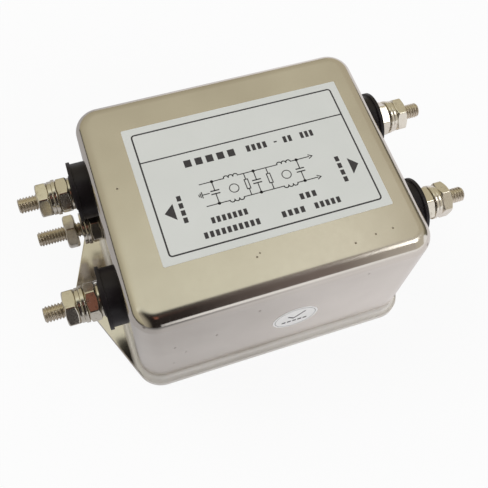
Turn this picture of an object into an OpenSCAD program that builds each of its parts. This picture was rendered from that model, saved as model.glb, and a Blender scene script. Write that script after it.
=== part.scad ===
// Power line filter: a drawn steel can and an eared base plate, with threaded terminals in moulded bushes
// at both ends and a two-stage filter circuit inside.
// X runs from the LINE end to the LOAD end, Y from front to back, Z up from the mounting face.
// The origin is on the mounting face, midway between the two ends and between the two long sides.

/* [Can] */
// Length of the can between its two terminal walls
can_l = 78.4; // [76:0.2:90]
// Width of the can between its two long walls
can_w = 65.2; // [62:0.2:80]
// Height of the can above the base plate
can_h = 43; // [41:0.5:60]
// Thickness of the can's sheet
can_t = 0.8; // [0.5:0.1:1.2]
// Radius of the can's upright corners
corner_r = 6.6; // [5.5:0.1:9]
// Radius of the can's top edge
top_r = 4; // [2:0.1:5]
// Radius of the bend from the wall into the flange
foot_r = 1; // [0.5:0.1:1.4]

/* [Flange and base plate] */
// How far the flange stands out along the long walls
flange_w = 1.5; // [1.4:0.1:4]
// Radius of the flange's corners
flange_corner_r = 7.2; // [5:0.1:9]
// Radius of the tip of each ear, about its mounting hole
ear_tip_r = 6; // [4:0.1:8]
// Distance between the two mounting holes
hole_spacing = 90; // [88:0.5:110]
// Diameter of the mounting holes
hole_d = 4.5; // [3:0.1:5]
// Thickness of the base plate
base_t = 1; // [0.6:0.1:2]

/* [Labels] */
// Length of the rating label
label_l = 60; // [30:1:65]
// Width of the rating label
label_w = 40.3; // [20:0.1:50]
// Thickness of both labels
label_t = 0.1; // [0.05:0.05:0.3]
// How far the rating label sits from the can's middle towards the LOAD end
label_x = 1.8; // [-3:0.1:3]
// How far the rating label sits from the can's middle towards the back
label_y = 1.6; // [-3:0.1:3]
// Diameter of the round inspection sticker
dot_d = 12.7; // [8:0.1:16]
// How far the round sticker sits from the can's middle towards the LOAD end
dot_x = 3; // [-15:0.1:15]
// Height of the round sticker's centre above the mounting face
dot_z = 21.4; // [12:0.1:30]

/* [Terminals] */
// Distance between the two LINE studs
line_spacing = 32; // [28:0.5:36]
// Distance between the two LOAD studs
load_spacing = 30; // [28:0.5:36]
// How far the four power studs sit below the can's top face
stud_drop = 14; // [12.5:0.5:16]
// Gap between the earth terminal's nuts and the bush above them
earth_bush_gap = 0.65; // [0.3:0.05:1]
// Gap between the earth terminal's inner nut and the circuit board
earth_board_gap = 4.06; // [3.5:0.02:4.5]
// Diameter of the studs over the thread
stud_d = 4.17; // [3.8:0.01:4.4]
// How far the power studs stand out from the can
stud_out = 19.3; // [17.2:0.1:24]
// How far the earth stud stands out from the can
earth_out = 17.5; // [12:0.1:22]
// Chamfer at the ends of the studs
stud_chamfer = 0.4; // [0.2:0.05:0.6]
// Rise of the thread in one turn
thread_rise = 0.79375; // [0.5:0.00005:1]
// Turns that the earth terminal's outer nut is backed off its washers
earth_slack = 1.75; // [0.5:0.25:3]

/* [Nuts and washers] */
// Width of the nuts across their flats
nut_af = 8.73; // [7:0.01:9]
// Thickness of the nuts
nut_h = 3.18; // [2.4:0.01:3.3]
// Diameter of the plain washer under each outer nut
plain_d = 9.5; // [8:0.1:10]
// Thickness of the plain washer under each outer nut
plain_t = 1; // [0.6:0.05:1.1]
// Diameter of the spring washer under each outer nut
spring_d = 9; // [8:0.1:10]
// Thickness of the spring washer under each outer nut
spring_t = 1.1; // [0.6:0.05:1.2]
// Width of the slit in the spring washers
slit_w = 0.6; // [0.3:0.1:1.2]
// Diameter of the thin washer against each bush
seat_d = 8.6; // [7.5:0.1:10]
// Thickness of the thin washer against each bush
seat_t = 0.6; // [0.3:0.05:0.8]

/* [Bushes] */
// Diameter of the lip of each outer bush
lip_d = 16.4; // [14:0.1:18]
// Thickness of the lip of each outer bush
lip_t = 1; // [0.6:0.1:2]
// Diameter of the body of each outer bush
bush_d = 15.3; // [12:0.1:16]
// How far the outer bushes stand out from the can
bush_out = 4.7; // [3:0.1:5]
// Diameter of the raised seat on each outer bush
hub_d = 9.4; // [8.6:0.1:11]
// Height of the raised seat on each outer bush
hub_t = 0.3; // [0.1:0.1:0.6]
// Diameter of the spigot that passes through the can's wall
spigot_d = 9; // [7:0.1:10]
// Diameter of the inner bushes
inner_bush_d = 15; // [12:0.1:16]

/* [Circuit board] */
// Thickness of the circuit board
board_t = 1.6; // [1:0.1:2]
// Gap between the circuit board and the can all round
board_gap = 1.2; // [0.5:0.1:2]
// Height of the circuit board's underside above the base plate
standoff_h = 5; // [4:0.1:5.2]
// Diameter of the standoffs
standoff_d = 5.5; // [4.5:0.1:7]
// How far the standoffs sit in from the circuit board's edges
standoff_inset = 5.5; // [4:0.1:7]
// Diameter of the circuit board's screws
screw_d = 3; // [2:0.1:3.5]
// Diameter of the heads of the circuit board's screws
screw_head_d = 5.5; // [4.5:0.1:6]
// Height of the heads of the circuit board's screws
screw_head_h = 2; // [1:0.1:2.5]
// Length of the circuit board's screws under the head
screw_l = 5; // [4:0.1:5.5]
// Width of the slot in the screw heads
screw_slot_w = 0.8; // [0.5:0.1:1.2]
// Thickness of the insulating sheet on the base plate
sheet_t = 0.3; // [0.1:0.05:0.6]

/* [Chokes] */
// Gap between the windings and the lead wires at the can's ends
choke_end_gap = 0.88; // [0.5:0.02:2]
// Share of a choke core's diameter that its bore takes
core_bore_share = 0.555; // [0.5:0.005:0.6]
// Height of the choke cores
core_h = 11; // [8:0.5:12]
// Diameter of the choke wire
wire_d = 1.3; // [0.8:0.1:1.3]
// Gap between a core and the wire wound on it
turn_gap = 0.2; // [0.1:0.02:0.4]
// Turns in each of a choke's two windings
turns = 10; // [6:1:10]
// Angle from one turn to the next
turn_step = 15; // [14.5:0.1:15.5]
// Gap between the windings of the two chokes
choke_gap = 1.2; // [0.5:0.1:3]
// Thickness of the plate that parts a choke's windings
divider_t = 1.6; // [1:0.1:1.8]

/* [Capacitors and resistor] */
// Width of the capacitors that join the two lines
x_cap_w = 8.5; // [5:0.5:8.5]
// Height of the capacitors that join the two lines
x_cap_h = 14.5; // [8:0.5:15]
// Gap between these capacitors, and from them to the screws at the ends of their row
x_cap_gap = 2; // [1:0.1:3]
// How far these capacitors sit in from the circuit board's back edge
x_cap_inset = 2.5; // [1.5:0.1:2.8]
// Diameter of the capacitors that join the lines to the can
y_cap_d = 9; // [6:0.5:10]
// Thickness of the capacitors that join the lines to the can
y_cap_t = 4; // [3:0.5:4.5]
// Diameter of the bleed resistor
resistor_d = 3.4; // [2:0.1:4]
// Length of the bleed resistor
resistor_l = 9; // [6:0.5:9]
// Distance between the bleed resistor's leads
resistor_span = 12; // [11:0.5:13]
// Gap between the resistor's leads and the capacitors beside it
row_gap = 1.6; // [1:0.1:3]
// How far the front row sits in from the circuit board's front edge
front_inset = 6; // [5:0.1:6.5]
// Diameter of the components' leads
lead_d = 0.8; // [0.5:0.1:1]
// Gap between the round components and the circuit board
lead_gap = 1.5; // [0.5:0.1:2]

/* [Inner leads] */
// Thickness of the ring lugs
lug_t = 0.8; // [0.5:0.1:1]
// Diameter of the ring of each lug
lug_d = 8.5; // [7:0.1:9]
// Diameter of the lugs' crimped barrels
barrel_d = 3.4; // [2.8:0.1:3.8]
// Gap between the inner nuts' corners and the lugs' barrels
barrel_gap = 0.4; // [0.2:0.1:0.6]
// Length of the lugs' crimped barrels
barrel_l = 3; // [2.5:0.1:3.2]
// Diameter of the lead wires over their insulation
lead_wire_d = 2.4; // [1.5:0.1:2.6]
// Gap between the earth stud's inner end and the lead wire that passes it
wire_gap = 0.6; // [0.3:0.1:1.5]
// How far the studs reach past the inner nuts
stud_end = 1.5; // [0.5:0.1:3]

/* [Fits] */
// Radial clearance of a running or push fit
fit = 0.06; // [0.03:0.01:0.1]
// Gap between flat faces that can part
face_gap = 0.02; // [0.01:0.01:0.05]
// Radial clearance between a stud and a washer
washer_fit = 0.2; // [0.1:0.05:0.25]

/* [Hidden] */
$fn = 96;
overrun = 1;

// Heights of the levels inside the can.
can_top = base_t + can_h;
board_z = base_t + standoff_h;
board_top = board_z + board_t;
inner_l = can_l - 2 * can_t;
inner_w = can_w - 2 * can_t;
board_l = inner_l - 2 * board_gap;
board_w = inner_w - 2 * board_gap;
board_corner_r = corner_r - can_t - board_gap;

// The nut's corners, and its bevel, which starts just inside the flats.
nut_ac = nut_af / cos(30);
nut_face_share = 0.94;
nut_bevel_angle = 30;
nut_face_r = nut_af / 2 * nut_face_share;
nut_bevel = (nut_ac / 2 - nut_face_r) * tan(nut_bevel_angle);
nut_bore = stud_d + 2 * fit;
washer_bore = stud_d + 2 * washer_fit;

// The earth stud stands above the circuit board, and as far inboard of the back bush as its nuts need.
stud_z = can_top - stud_drop;
earth_z = board_top + nut_ac / 2 + earth_board_gap;
earth_reach = lip_d / 2 + nut_ac / 2 + earth_bush_gap;
earth_y = line_spacing / 2 - sqrt(max(0, pow(earth_reach, 2) - pow(stud_z - earth_z, 2)));

// A terminal is its end of the can, its place along Y, its height, and the turn of its parts about the stud:
// of the outer nut, of the clamping nut and of the spring washer's slit.
LINE_END = -1;
LOAD_END = 1;
LINE_BACK = [LINE_END, line_spacing / 2, stud_z, 31, 25, 200];
LINE_FRONT = [LINE_END, -line_spacing / 2, stud_z, 23, 53, 140];
LOAD_BACK = [LOAD_END, load_spacing / 2, stud_z, 31, 50, 250];
LOAD_FRONT = [LOAD_END, -load_spacing / 2, stud_z, 5, 20, 165];
EARTH = [LINE_END, earth_y, earth_z, 20, 21, 215];
POWER = [LINE_BACK, LINE_FRONT, LOAD_BACK, LOAD_FRONT];
TERMINALS = concat(POWER, [EARTH]);

// The flange's outline: corner circles and tip circles, joined by their common tangents.
ear_x = hole_spacing / 2;
ear_corner = [can_l / 2 + foot_r - flange_corner_r, can_w / 2 + flange_w - flange_corner_r];
ear_reach = norm([ear_corner.x - ear_x, ear_corner.y]);
tangent_angle = atan2(ear_corner.y, ear_corner.x - ear_x) - acos((ear_tip_r - flange_corner_r) / ear_reach);

// Places along a power stud, counted outwards from the can's wall.
seat_at = bush_out + hub_t;
clamp_at = seat_at + seat_t;
plain_at = clamp_at + nut_h + face_gap;
stack_t = plain_t + spring_t + 2 * face_gap;
nut_at = plain_at + stack_t;
// The same places along the earth stud, whose clamping nut lies on the wall.
earth_plain_at = nut_h + face_gap;
earth_nut_at = earth_plain_at + stack_t + earth_slack * thread_rise;

// Places along a power stud inwards from the wall, and the same along the earth stud. The power studs' inner
// bushes stand in far enough to carry their lead wires past the earth stud's inner end.
barrel_at = nut_ac / 2 + barrel_gap;
barrel_sink = (barrel_d - lug_t) / 2;
inner_bush_t = nut_h + stud_end + wire_gap + lead_wire_d / 2 - barrel_sink;
spigot_in = can_t + inner_bush_t / 2;
lug_in = can_t + inner_bush_t;
earth_lug_in = can_t;
stud_in = lug_in + lug_t + nut_h + stud_end;
earth_stud_in = earth_lug_in + lug_t + nut_h + stud_end;

// One open groove of the thread stands just outside each outer nut, and parts the stud's free end from it.
groove_w_share = 0.8;
groove_w = thread_rise * groove_w_share;
groove_depth_share = 0.6;
groove_depth = thread_rise * groove_depth_share;

// The two chokes fill the can's length between the lead wires at its ends.
wire_room = can_l / 2 - lug_in - lug_t - barrel_sink - lead_wire_d / 2;
choke_r = (wire_room - choke_end_gap - choke_gap / 2) / 2;
core_od = 2 * (choke_r - turn_gap - wire_d);
core_bore_d = core_od * core_bore_share;
choke_x = choke_r + choke_gap / 2;
frame_h = core_h + 2 * (turn_gap + wire_d);
choke_z = board_top + turn_gap + frame_h / 2;

// The capacitors that join the lines fill the back row between two screws. The small parts stand in front.
x_cap_row = board_l - 2 * standoff_inset - screw_head_d - 2 * x_cap_gap;
x_cap_l = (x_cap_row - 2 * x_cap_gap) / 3;
x_cap_y = board_w / 2 - x_cap_inset - x_cap_w;
front_row_y = front_inset - board_w / 2;
y_cap_x = resistor_span / 2 + lead_d / 2 + row_gap + y_cap_d / 2;

// The chokes stand midway between the two rows.
choke_y = (x_cap_y + front_row_y + y_cap_t / 2) / 2;

steel = "silver";
nickel = "tan";
moulding = "black";

module rounded_plate(l, w, h, r) {
    linear_extrude(h) {
        square([l - 2 * r, w], center = true);
        square([l, w - 2 * r], center = true);
        for (x = [-1, 1], y = [-1, 1]) translate([x * (l / 2 - r), y * (w / 2 - r)]) circle(r);
    }
}

// Half of the upright section of a block with a rounded top edge.
module rounded_section(half, h, r) {
    square([half, h - r]);
    square([half - r, h]);
    translate([half - r, h - r]) circle(r);
}

// A block with upright corners of radius r and a top edge of radius r_top.
module drawn_block(l, w, h, r, r_top) {
    for (x = [-1, 1], y = [-1, 1]) {
        translate([x * (l / 2 - r), y * (w / 2 - r), 0]) rotate_extrude() intersection() {
            rounded_section(r, h, r_top);
            square([r, h]);
        }
    }
    for (side = [0, 180]) {
        rotate([90, 0, side]) linear_extrude(w - 2 * r, center = true) rounded_section(l / 2, h, r_top);
        rotate([90, 0, side + 90]) linear_extrude(l - 2 * r, center = true) rounded_section(w / 2, h, r_top);
    }
}

// The hollow bend from the walls into the flange, as a block with a hollow-rounded edge.
module foot_section(half, r) {
    difference() {
        square([half + r, r]);
        translate([half + r, r]) circle(r);
    }
}

module foot_bend(l, w, corner, r) {
    for (x = [-1, 1], y = [-1, 1]) {
        translate([x * (l / 2 - corner), y * (w / 2 - corner), 0]) rotate_extrude() foot_section(corner, r);
    }
    for (side = [0, 180]) {
        rotate([90, 0, side]) linear_extrude(w - 2 * corner, center = true) foot_section(l / 2, r);
        rotate([90, 0, side + 90]) linear_extrude(l - 2 * corner, center = true) foot_section(w / 2, r);
    }
}

// Where the straight edge of an ear leaves the corner circle or the tip circle.
function on_circle(centre, r) = centre + r * [cos(tangent_angle), sin(tangent_angle)];

module eared_plate(t) {
    corner = on_circle(ear_corner, flange_corner_r);
    tip = on_circle([ear_x, 0], ear_tip_r);
    side = [ear_corner.x, ear_corner.y + flange_corner_r];
    linear_extrude(t) polygon([
        side, corner, tip, [tip.x, -tip.y], [corner.x, -corner.y], [side.x, -side.y],
        [-side.x, -side.y], [-corner.x, -corner.y], [-tip.x, -tip.y], [-tip.x, tip.y],
        [-corner.x, corner.y], [-side.x, side.y]
    ]);
    for (x = [-1, 1]) {
        translate([x * ear_x, 0, 0]) cylinder(r = ear_tip_r, h = t);
        for (y = [-1, 1]) {
            translate([x * ear_corner.x, y * ear_corner.y, 0]) cylinder(r = flange_corner_r, h = t);
        }
    }
}

module mounting_holes() {
    for (x = [-1, 1]) translate([x * ear_x, 0, -overrun]) cylinder(d = hole_d, h = can_h);
}

// Puts the children on a terminal's stud: Z points out of the can, X down, and the wall's outer face is at 0.
module at_terminal(terminal) {
    translate([0, terminal[1], terminal[2]])
        rotate([0, 0, terminal[0] == LOAD_END ? 0 : 180])
            translate([can_l / 2, 0, 0]) rotate([0, 90, 0]) children();
}

// Turns a nut or a washer so that the angle runs from straight up towards the front.
module turned(terminal, angle) {
    rotate([0, 0, terminal[0] == LOAD_END ? 180 + angle : 180 - angle]) children();
}

module can() {
    color(nickel) difference() {
        union() {
            translate([0, 0, base_t]) {
                drawn_block(can_l, can_w, can_h, corner_r, top_r);
                eared_plate(can_t);
                translate([0, 0, can_t]) foot_bend(can_l, can_w, corner_r, foot_r);
            }
        }
        translate([0, 0, base_t - overrun])
            drawn_block(inner_l, inner_w, can_h - can_t + overrun, corner_r - can_t, top_r - can_t);
        mounting_holes();
        for (t = POWER) at_terminal(t) {
            translate([0, 0, -can_t - overrun]) cylinder(d = spigot_d + 2 * fit, h = can_t + 2 * overrun);
        }
        at_terminal(EARTH) {
            translate([0, 0, -can_t - overrun]) cylinder(d = stud_d + 2 * fit, h = can_t + 2 * overrun);
        }
    }
}

module base_plate() {
    color(nickel) difference() {
        eared_plate(base_t);
        mounting_holes();
    }
}

module rating_label() {
    color("gainsboro") translate([label_x, label_y, can_top + label_t / 2])
        cube([label_l, label_w, label_t], center = true);
}

module inspection_sticker() {
    color("white") translate([dot_x, -can_w / 2, dot_z]) rotate([90, 0, 0]) cylinder(d = dot_d, h = label_t);
}

module outer_bush() {
    bore = stud_d / 2 + fit;
    rotate_extrude() polygon([
        [bore, -spigot_in], [spigot_d / 2, -spigot_in], [spigot_d / 2, 0], [bush_d / 2, 0],
        [bush_d / 2, bush_out - lip_t], [lip_d / 2, bush_out - lip_t], [lip_d / 2, bush_out],
        [hub_d / 2, bush_out], [hub_d / 2, bush_out + hub_t], [bore, bush_out + hub_t]
    ]);
}

module outer_bushes() {
    color(moulding) for (t = POWER) at_terminal(t) outer_bush();
}

module inner_bush() {
    bore = stud_d / 2 + fit;
    recess = spigot_d / 2 + fit;
    rotate_extrude() polygon([
        [recess, -can_t], [inner_bush_d / 2, -can_t], [inner_bush_d / 2, -lug_in], [bore, -lug_in],
        [bore, -spigot_in], [recess, -spigot_in]
    ]);
}

module inner_bushes() {
    color(moulding) for (t = POWER) at_terminal(t) inner_bush();
}

// A stud from its inner to its outer end, with an open thread groove just outside the outer nut.
module stud(from, to, groove) {
    r = stud_d / 2;
    groove_r = r - groove_depth;
    rotate_extrude() polygon([
        [0, from], [r - stud_chamfer, from], [r, from + stud_chamfer],
        [r, groove], [groove_r, groove], [groove_r, groove + groove_w], [r, groove + groove_w],
        [r, to - stud_chamfer], [r - stud_chamfer, to], [0, to]
    ]);
}

module power_studs() {
    color(nickel) for (t = POWER) at_terminal(t) stud(-stud_in, stud_out, nut_at + nut_h);
}

module earth_stud() {
    color(nickel) at_terminal(EARTH) stud(-earth_stud_in, earth_out, earth_nut_at + nut_h);
}

module washer(od, t) {
    difference() {
        cylinder(d = od, h = t);
        translate([0, 0, -overrun]) cylinder(d = washer_bore, h = t + 2 * overrun);
    }
}

// A washer with a slanted slit through one side.
module spring_washer() {
    slit_angle = 30;
    difference() {
        washer(spring_d, spring_t);
        translate([0, 0, spring_t / 2]) rotate([slit_angle, 0, 0])
            translate([0, -slit_w / 2, -spring_d / 2]) cube([spring_d, slit_w, spring_d]);
    }
}

module hex_nut() {
    difference() {
        intersection() {
            cylinder(d = nut_ac, h = nut_h, $fn = 6);
            rotate_extrude() polygon([
                [0, 0], [nut_face_r, 0], [nut_ac / 2, nut_bevel],
                [nut_ac / 2, nut_h - nut_bevel], [nut_face_r, nut_h], [0, nut_h]
            ]);
        }
        translate([0, 0, -overrun]) cylinder(d = nut_bore, h = nut_h + 2 * overrun);
    }
}

module seat_washers() {
    color(nickel) for (t = POWER) at_terminal(t) translate([0, 0, seat_at]) washer(seat_d, seat_t);
}

module clamping_nuts() {
    color(nickel) {
        for (t = POWER) at_terminal(t) translate([0, 0, clamp_at]) turned(t, t[4]) hex_nut();
        at_terminal(EARTH) turned(EARTH, EARTH[4]) hex_nut();
    }
}

module outer_nut(t) {
    at = t == EARTH ? earth_nut_at : nut_at;
    color(nickel) at_terminal(t) translate([0, 0, at]) turned(t, t[3]) hex_nut();
}

module outer_plain_washer(t) {
    at = t == EARTH ? earth_plain_at : plain_at;
    color(nickel) at_terminal(t) translate([0, 0, at]) washer(plain_d, plain_t);
}

module outer_spring_washer(t) {
    at = (t == EARTH ? earth_plain_at : plain_at) + plain_t + face_gap;
    color(nickel) at_terminal(t) translate([0, 0, at]) turned(t, t[5]) spring_washer();
}

module inside_nuts() {
    color(nickel) {
        for (t = POWER) at_terminal(t) translate([0, 0, -lug_in - lug_t - nut_h]) hex_nut();
        at_terminal(EARTH) translate([0, 0, -earth_lug_in - lug_t - nut_h]) hex_nut();
    }
}

// A ring lug flat against a face, with a tongue that carries its barrel down past the nut.
module ring_lug() {
    difference() {
        union() {
            cylinder(d = lug_d, h = lug_t);
            translate([0, -barrel_d / 2, 0]) cube([barrel_at + lug_t, barrel_d, lug_t]);
            translate([barrel_at, 0, -barrel_sink]) rotate([0, 90, 0]) cylinder(d = barrel_d, h = barrel_l);
        }
        translate([0, 0, -overrun]) cylinder(d = washer_bore, h = lug_t + 2 * overrun);
        translate([barrel_at + lug_t, 0, -barrel_sink]) rotate([0, 90, 0])
            cylinder(d = lead_wire_d + 2 * fit, h = barrel_l);
    }
}

module ring_lugs() {
    color("gold") {
        for (t = POWER) at_terminal(t) translate([0, 0, -lug_in - lug_t]) ring_lug();
        at_terminal(EARTH) translate([0, 0, -earth_lug_in - lug_t]) ring_lug();
    }
}

// A lead wire from inside the lug's barrel straight down to the circuit board.
module lead_wire(terminal, lug_depth) {
    start = barrel_at + lug_t;
    at_terminal(terminal) translate([start, 0, -lug_depth - lug_t - barrel_sink])
        rotate([0, 90, 0]) cylinder(d = lead_wire_d, h = terminal[2] - board_top - start);
}

module lead_wires() {
    color("firebrick") {
        for (t = POWER) lead_wire(t, lug_in);
        lead_wire(EARTH, earth_lug_in);
    }
}

module at_standoffs() {
    for (x = [-1, 1], y = [-1, 1]) {
        translate([x * (board_l / 2 - standoff_inset), y * (board_w / 2 - standoff_inset), 0]) children();
    }
}

module insulating_sheet() {
    color("darkkhaki") difference() {
        translate([0, 0, base_t]) rounded_plate(board_l, board_w, sheet_t, board_corner_r);
        at_standoffs() cylinder(d = standoff_d + 2 * fit, h = board_z);
    }
}

module board_standoffs() {
    color(steel) at_standoffs() translate([0, 0, base_t]) difference() {
        cylinder(d = standoff_d, h = standoff_h);
        translate([0, 0, standoff_h + board_t - screw_l - face_gap])
            cylinder(d = screw_d + 2 * fit, h = screw_l);
    }
}

module circuit_board() {
    color("darkgoldenrod") difference() {
        translate([0, 0, board_z]) rounded_plate(board_l, board_w, board_t, board_corner_r);
        at_standoffs() translate([0, 0, base_t]) cylinder(d = screw_d + 2 * fit, h = can_h);
    }
}

module board_screws() {
    slot_depth = screw_head_h / 2;
    color(steel) at_standoffs() translate([0, 0, board_top]) {
        translate([0, 0, -screw_l]) cylinder(d = screw_d, h = screw_l + screw_head_h - slot_depth);
        difference() {
            cylinder(d = screw_head_d, h = screw_head_h);
            translate([0, 0, screw_head_h])
                cube([screw_head_d + overrun, screw_slot_w, 2 * slot_depth], center = true);
        }
    }
}

module at_choke(end) {
    translate([end * choke_x, choke_y, choke_z]) children();
}

module choke_core(end) {
    color("dimgray") at_choke(end) difference() {
        cylinder(d = core_od, h = core_h, center = true);
        cylinder(d = core_bore_d, h = core_h + 2 * overrun, center = true);
    }
}

// One turn of the winding: a frame round the core's section, with rounded corners.
module winding_turn() {
    inner = [(core_od - core_bore_d) / 2 + 2 * turn_gap, core_h + 2 * turn_gap];
    rotate([90, 0, 0]) linear_extrude(wire_d, center = true) difference() {
        union() {
            square([inner.x, inner.y + 2 * wire_d], center = true);
            square([inner.x + 2 * wire_d, inner.y], center = true);
            for (x = [-1, 1], y = [-1, 1]) translate([x * inner.x / 2, y * inner.y / 2]) circle(wire_d);
        }
        square(inner, center = true);
    }
}

module choke_windings(end) {
    first = -(turns - 1) / 2 * turn_step;
    color("peru") at_choke(end) for (half = [0, 180], i = [0:turns - 1]) {
        rotate([0, 0, half + first + i * turn_step])
            translate([(core_od + core_bore_d) / 4, 0, 0]) winding_turn();
    }
}

module choke_divider(end) {
    color("ivory") translate([end * choke_x, choke_y, board_top + frame_h / 2])
        cube([divider_t, core_bore_d - 4 * fit, frame_h], center = true);
}

module x_capacitor(place) {
    color("khaki") translate([place * (x_cap_l + x_cap_gap) - x_cap_l / 2, x_cap_y, board_top])
        cube([x_cap_l, x_cap_w, x_cap_h]);
}

module y_capacitors() {
    body_z = lead_gap + y_cap_d / 2;
    color("cornflowerblue") for (x = [-1, 1]) translate([x * y_cap_x, front_row_y, board_top]) {
        translate([0, 0, body_z]) rotate([90, 0, 0]) cylinder(d = y_cap_d, h = y_cap_t, center = true);
        for (side = [-1, 1]) translate([side * y_cap_d / 4, 0, 0]) cylinder(d = lead_d, h = body_z);
    }
}

module bleed_resistor() {
    body_z = lead_gap + resistor_d / 2;
    color("lightblue") translate([0, front_row_y, board_top]) {
        translate([0, 0, body_z]) rotate([0, 90, 0]) {
            cylinder(d = resistor_d, h = resistor_l, center = true);
            cylinder(d = lead_d, h = resistor_span, center = true);
        }
        for (side = [-1, 1]) {
            translate([side * resistor_span / 2, 0, 0]) cylinder(d = lead_d, h = body_z + lead_d / 2);
        }
    }
}

can();
base_plate();
rating_label();
inspection_sticker();
outer_bushes();
inner_bushes();
power_studs();
earth_stud();
seat_washers();
clamping_nuts();
inside_nuts();
ring_lugs();
lead_wires();
outer_nut(LINE_BACK);  // line_back_nut
outer_plain_washer(LINE_BACK);  // line_back_plain_washer
outer_spring_washer(LINE_BACK);  // line_back_spring_washer
outer_nut(LINE_FRONT);  // line_front_nut
outer_plain_washer(LINE_FRONT);  // line_front_plain_washer
outer_spring_washer(LINE_FRONT);  // line_front_spring_washer
outer_nut(LOAD_BACK);  // load_back_nut
outer_plain_washer(LOAD_BACK);  // load_back_plain_washer
outer_spring_washer(LOAD_BACK);  // load_back_spring_washer
outer_nut(LOAD_FRONT);  // load_front_nut
outer_plain_washer(LOAD_FRONT);  // load_front_plain_washer
outer_spring_washer(LOAD_FRONT);  // load_front_spring_washer
outer_nut(EARTH);  // earth_nut
outer_plain_washer(EARTH);  // earth_plain_washer
outer_spring_washer(EARTH);  // earth_spring_washer
insulating_sheet();
board_standoffs();
circuit_board();
board_screws();
choke_core(LINE_END);  // line_choke_core
choke_windings(LINE_END);  // line_choke_windings
choke_divider(LINE_END);  // line_choke_divider
choke_core(LOAD_END);  // load_choke_core
choke_windings(LOAD_END);  // load_choke_windings
choke_divider(LOAD_END);  // load_choke_divider
x_capacitor(LINE_END);  // x_capacitor_line
x_capacitor(0);  // x_capacitor_middle
x_capacitor(LOAD_END);  // x_capacitor_load
y_capacitors();
bleed_resistor();
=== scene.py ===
from math import acos, atan2, cos, fmod, hypot, pi, radians, sin, sqrt, tan

import bmesh
import bpy
from mathutils import Matrix, Vector


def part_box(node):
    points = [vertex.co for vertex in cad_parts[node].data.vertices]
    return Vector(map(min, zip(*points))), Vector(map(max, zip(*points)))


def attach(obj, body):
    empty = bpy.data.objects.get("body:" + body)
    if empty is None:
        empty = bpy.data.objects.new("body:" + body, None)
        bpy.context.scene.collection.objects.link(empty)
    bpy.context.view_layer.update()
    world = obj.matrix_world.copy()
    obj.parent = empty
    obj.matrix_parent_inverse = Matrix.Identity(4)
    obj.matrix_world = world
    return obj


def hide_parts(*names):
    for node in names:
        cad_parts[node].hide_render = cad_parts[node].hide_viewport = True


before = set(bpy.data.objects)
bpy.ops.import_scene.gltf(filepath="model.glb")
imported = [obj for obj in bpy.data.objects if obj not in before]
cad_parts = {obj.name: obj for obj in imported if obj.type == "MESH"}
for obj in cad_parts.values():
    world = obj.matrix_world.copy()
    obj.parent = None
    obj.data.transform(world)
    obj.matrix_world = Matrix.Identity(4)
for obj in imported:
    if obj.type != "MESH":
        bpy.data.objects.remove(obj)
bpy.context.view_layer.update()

# Camera
# It stands over the corner between the front wall and the line end, looks down on the can, and is rolled a
# little, so that the can's front edge rises to the right.
CAMERA_AT = Vector((-0.04116, -0.08478, 0.19463))
CAMERA_RIGHT = Vector((0.94404, -0.32340, 0.06483))
CAMERA_UP = Vector((0.26427, 0.85922, 0.43806))
CAMERA_LENS = 51.30
CAMERA_FILM = 36.0
CAMERA_NEAR = 0.01

lens = bpy.data.cameras.new("camera")
lens.lens = CAMERA_LENS
lens.sensor_width = CAMERA_FILM
lens.clip_start = CAMERA_NEAR
camera = bpy.data.objects.new("camera", lens)
camera.matrix_world = Matrix.Translation(CAMERA_AT) @ Matrix(
    (CAMERA_RIGHT, CAMERA_UP, CAMERA_RIGHT.cross(CAMERA_UP))
).transposed().to_4x4()
bpy.context.collection.objects.link(camera)
bpy.context.scene.camera = camera
bpy.context.scene.view_settings.view_transform = "Standard"

# Table and light
# A plain white table under a white sky, and two soft lamps. Cards that only a mirror sees stand round them: a
# warm ceiling, a dark screen in front, two end walls, a brown card and a bright window pane.
TABLE_HALF = 3.0
TABLE_COLOUR = (0.92, 0.92, 0.92)
TABLE_WHITE = 0.90
TABLE_MIRRORED = 0.75
SKY_LIGHT = 0.52


class Term:
    """A number or a socket's value in a shader sum. Python's operators add the Math nodes."""

    def __init__(self, tree, socket):
        self.tree = tree
        self.socket = socket

    def math(self, operation, *values):
        node = self.tree.nodes.new("ShaderNodeMath")
        node.operation = operation
        for socket, value in zip(node.inputs, values):
            plug(self.tree, socket, value)
        return Term(self.tree, node.outputs[0])

    def __add__(self, other):
        return self.math("ADD", self, other)

    def __radd__(self, other):
        return self.math("ADD", other, self)

    def __sub__(self, other):
        return self.math("SUBTRACT", self, other)

    def __rsub__(self, other):
        return self.math("SUBTRACT", other, self)

    def __mul__(self, other):
        return self.math("MULTIPLY", self, other)

    def __rmul__(self, other):
        return self.math("MULTIPLY", other, self)

    def __truediv__(self, other):
        return self.math("DIVIDE", self, other)

    def __rtruediv__(self, other):
        return self.math("DIVIDE", other, self)

    def clamp(self):
        return self.math("MINIMUM", self.math("MAXIMUM", self, 0.0), 1.0)

    def fade(self, start, stop):
        """A share that runs from 0 at the start to 1 at the stop."""
        return ((self - start) / (stop - start)).clamp()

    def other(self, name):
        """Another output of the same node."""
        return Term(self.tree, self.socket.node.outputs[name])


def plug(tree, socket, value):
    """Sets a socket to a number or a colour, or links it to another node's output."""
    if isinstance(value, Term):
        tree.links.new(value.socket, socket)
    elif socket.type == "RGBA" and len(value) == 3:
        socket.default_value = (*value, 1.0)
    else:
        socket.default_value = value


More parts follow.
